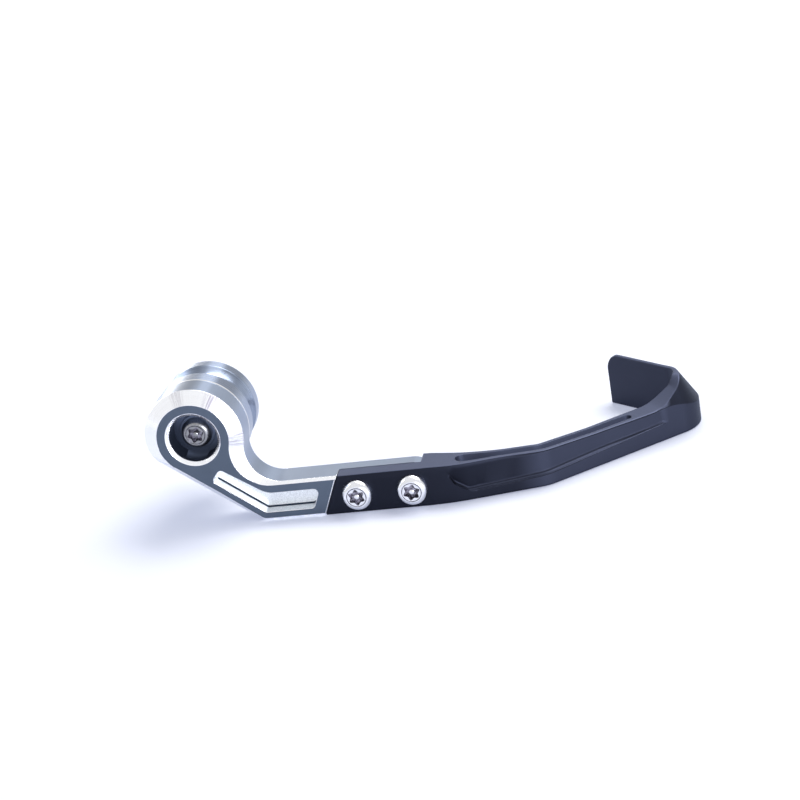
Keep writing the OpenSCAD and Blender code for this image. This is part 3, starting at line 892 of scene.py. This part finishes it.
def softbox(name, place, size, watts, colour, shadow):
    """An area light that the camera doesn't see, aimed at the guard."""
    light = bpy.data.lights.new(name, "AREA")
    light.shape = "RECTANGLE"
    light.size, light.size_y = size
    light.energy = watts
    light.color = colour
    light.use_shadow = shadow
    holder = bpy.data.objects.new(name, light)
    holder.location = place
    holder.rotation_euler = (Vector(AIM) - Vector(place)).to_track_quat("-Z", "Y").to_euler()
    holder.visible_camera = False
    bpy.context.scene.collection.objects.link(holder)


def white_floor():
    """A pale floor that looks white where no shadow falls, and far away."""
    f = Finish("White floor", (0.82, 0.83, 0.86), 0.7, 0.0)
    f.set("Specular IOR Level", 0.1)
    f.set("Emission Strength", 1.0)
    x, y, _ = f.parts(f.place())
    far = ((x * x + y * y) ** 0.5).ramp(*FLOOR_FAR)
    path = f.node("ShaderNodeLightPath").socket.node
    seen = [Field(f, path.outputs[kind]) for kind in LOOKS]
    glow = f.mix(far, (0.08, 0.09, 0.16), (1.0, 1.0, 1.0))
    f.set("Emission Color", f.mix(seen[0].most(seen[1]).most(seen[2]), (0, 0, 0), glow))
    return f.material


def white_world(strength):
    """Soft bluish light from all round that the camera and the metal see as white."""
    world = bpy.data.worlds.new("Studio")
    bpy.context.scene.world = world
    world.use_nodes = True
    tree = world.node_tree
    tree.nodes.clear()
    path = tree.nodes.new("ShaderNodeLightPath")
    seen = path.outputs[LOOKS[0]]
    for kind in LOOKS[1:]:
        either = tree.nodes.new("ShaderNodeMath")
        either.operation = "MAXIMUM"
        tree.links.new(seen, either.inputs[0])
        tree.links.new(path.outputs[kind], either.inputs[1])
        seen = either.outputs[0]
    white = tree.nodes.new("ShaderNodeBackground")
    white.inputs["Color"].default_value = (1, 1, 1, 1)
    sky = tree.nodes.new("ShaderNodeBackground")
    sky.inputs["Color"].default_value = (0.86, 0.91, 1.0, 1)
    sky.inputs["Strength"].default_value = strength
    mix = tree.nodes.new("ShaderNodeMixShader")
    output = tree.nodes.new("ShaderNodeOutputWorld")
    tree.links.new(seen, mix.inputs[0])
    tree.links.new(sky.outputs[0], mix.inputs[1])
    tree.links.new(white.outputs[0], mix.inputs[2])
    tree.links.new(mix.outputs[0], output.inputs["Surface"])


class GUARD_OT_studio(bpy.types.Operator):
    """Makes the camera, the lights, the floor and the background"""

    bl_idname = "guard.studio"
    bl_label = "Studio"

    def execute(self, context):
        scene, studio = context.scene, context.scene.guard_studio
        lens = bpy.data.cameras.new("Camera")
        lens.lens = studio.lens
        lens.sensor_width = 36
        lens.clip_start, lens.clip_end = 0.01, 20
        camera = bpy.data.objects.new("Camera", lens)
        camera.matrix_world = (
            Matrix.Translation(studio.camera_place)
            @ Matrix.Rotation(studio.azimuth, 4, "Z")
            @ Matrix.Rotation(math.radians(90) - studio.elevation, 4, "X")
            @ Matrix.Rotation(studio.roll, 4, "Z"))
        scene.collection.objects.link(camera)
        scene.camera = camera

        bm = bmesh.new()
        bmesh.ops.create_circle(
            bm, cap_ends=True, radius=studio.floor_r, segments=96,
            matrix=Matrix.Translation((AIM[0], 0, LOW_Z - FLOOR_GAP)))
        mesh = bpy.data.meshes.new("floor")
        bm.to_mesh(mesh)
        bm.free()
        mesh.materials.append(white_floor())
        floor = bpy.data.objects.new("floor", mesh)
        scene.collection.objects.link(floor)

        for name, power, place, size, colour, shadow in LAMPS:
            softbox(name, place, size, getattr(studio, power), colour, shadow)
        white_world(studio.sky)
        scene.view_settings.view_transform = "Standard"
        return {"FINISHED"}


class GUARD_PT_panel(bpy.types.Panel):
    """Sizes, colours and steps of the lever guard"""

    bl_idname = "GUARD_PT_panel"
    bl_label = "Brake Lever Guard"
    bl_space_type = "VIEW_3D"
    bl_region_type = "UI"
    bl_category = "Lever Guard"

    def draw(self, context):
        for group in GROUPS:
            settings = getattr(context.scene, group)
            box = self.layout.box()
            box.label(text=group.replace("_", " ").capitalize())
            for name in settings.bl_rna.properties.keys():
                if name not in ("rna_type", "name"):
                    box.prop(settings, name)
        for operator in OPERATORS:
            self.layout.operator(operator.bl_idname)


GROUPS = {
    "guard_edges": GuardEdges,
    "guard_colours": GuardColours,
    "guard_screws": GuardScrews,
    "guard_studio": GuardStudio,
}
OPERATORS = (GUARD_OT_arm, GUARD_OT_blade, GUARD_OT_collar, GUARD_OT_blade_screws,
             GUARD_OT_clamp_bolt, GUARD_OT_studio)
CLASSES = (*GROUPS.values(), *OPERATORS, GUARD_PT_panel)


def register():
    """Registers the classes and adds each group of settings to the scene."""
    for cls in CLASSES:
        bpy.utils.register_class(cls)
    for name, cls in GROUPS.items():
        setattr(bpy.types.Scene, name, PointerProperty(type=cls))


def unregister():
    """Takes the settings and the classes away again."""
    for name in GROUPS:
        delattr(bpy.types.Scene, name)
    for cls in reversed(CLASSES):
        bpy.utils.unregister_class(cls)


def main():
    """Makes every piece and the studio."""
    register()
    bpy.ops.guard.arm()
    bpy.ops.guard.blade()
    bpy.ops.guard.collar()
    bpy.ops.guard.blade_screws()
    bpy.ops.guard.clamp_bolt()
    bpy.ops.guard.studio()


if __name__ == "__main__":
    main()
